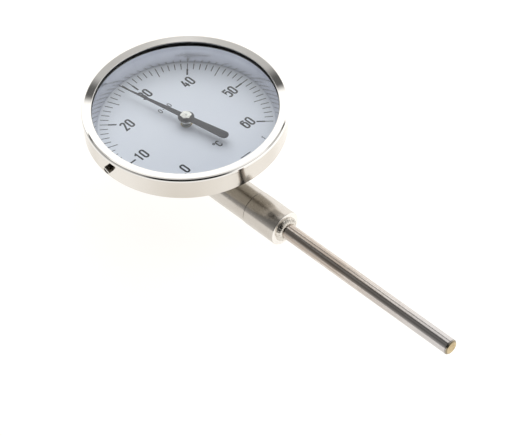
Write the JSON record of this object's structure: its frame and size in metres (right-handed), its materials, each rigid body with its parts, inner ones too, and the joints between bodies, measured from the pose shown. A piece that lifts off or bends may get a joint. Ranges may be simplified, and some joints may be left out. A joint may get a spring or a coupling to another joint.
{
  "type": "dial thermometer",
  "caption": "Bimetal dial thermometer: round steel housing with a white 0 to 60 degree dial, right-angle elbow, neck and thin stem, turning pointer and side screw that resets the dial.",
  "frame": {"origin": "on the stem's axis, in the plane of the neck's end shoulder, where the shoulder seats on a pocket or clamp", "axes": "+Z is the way the dial faces, +Y points to the dial's 12 o'clock, and the stem runs along -Y"},
  "size_m": [0.1041, 0.2269, 0.0472],
  "materials": {
    "polished_steel": "polished stainless steel",
    "turned_steel": "turned stainless steel",
    "neck_steel": "finely turned stainless steel",
    "stem_steel": "drawn stainless tube",
    "weld_steel": "rippled weld bead",
    "satin_ring": "satin",
    "dial_white": "matt white enamel",
    "pointer_black": "satin black enamel",
    "nickel_parts": "nickel plated",
    "brass_parts": "turned brass",
    "bimetal": "rolled bimetal strip",
    "seals": "black rubber",
    "nylon_parts": "white nylon",
    "window": "clear flat glass"
  },
  "bodies": {
    "housing": {"bezel_ring": "polished_steel", "case_pan": "turned_steel", "window_glass": "window", "window_gasket": "seals", "spacer_ring": "satin_ring", "screw_bush": "brass_parts", "screw_seal": "seals", "spindle_bush": "nickel_parts", "flange_seal": "seals", "lock_washer": "nickel_parts", "elbow_nut": "nickel_parts", "elbow_body": "neck_steel", "coupling_spring": "nickel_parts", "neck_sleeve": "neck_steel", "neck_seal": "seals", "stem_weld": "weld_steel", "stem_tube": "stem_steel", "stem_tip": "stem_steel", "elbow_rod_bush": "nylon_parts", "neck_rod_bush": "nylon_parts", "stem_rod_bush": "nylon_parts", "coil_anchor": "brass_parts", "bimetal_coil": "bimetal"},
    "dial": {"dial_plate": "dial_white", "dial_hub": "brass_parts", "dial_rack": "brass_parts"},
    "pointer": {"pointer": "pointer_black", "pointer_nut": "nickel_parts", "pointer_hub": "nickel_parts", "pointer_spindle": "turned_steel", "upper_spring_hub": "brass_parts"},
    "rod": {"transmission_rod": "turned_steel", "lower_spring_hub": "brass_parts", "coil_collar": "brass_parts"},
    "adjuster": {"adjusting_screw": "nickel_parts", "adjusting_pinion": "brass_parts"}
  },
  "joints": [
    {"name": "pointer_turn", "type": "hinge", "parent": "housing", "child": "pointer", "pos_m": [0, 0.0677, 0.0382], "axis": [0, 0, -1], "range_deg": [-124.88, 145.12], "deforming": ["coupling_spring"]},
    {"name": "rod_turn", "type": "hinge", "parent": "housing", "child": "rod", "pos_m": [0, 0, 0], "axis": [0, -1, 0], "range_deg": [-124.88, 145.12], "deforming": ["bimetal_coil"]},
    {"name": "dial_turn", "type": "hinge", "parent": "housing", "child": "dial", "pos_m": [0, 0.0677, 0.0382], "axis": [0, 0, 1], "range_deg": [-6, 6]},
    {"name": "adjuster_turn", "type": "hinge", "parent": "housing", "child": "adjuster", "pos_m": [0, 0.0677, 0.0316], "axis": [-1, 0, 0], "range_deg": [-180, 180]}
  ],
  "couplings": [
    {"joint": "rod_turn", "follows": "pointer_turn", "ratio": 1},
    {"joint": "adjuster_turn", "follows": "dial_turn", "ratio": 30}
  ]
}
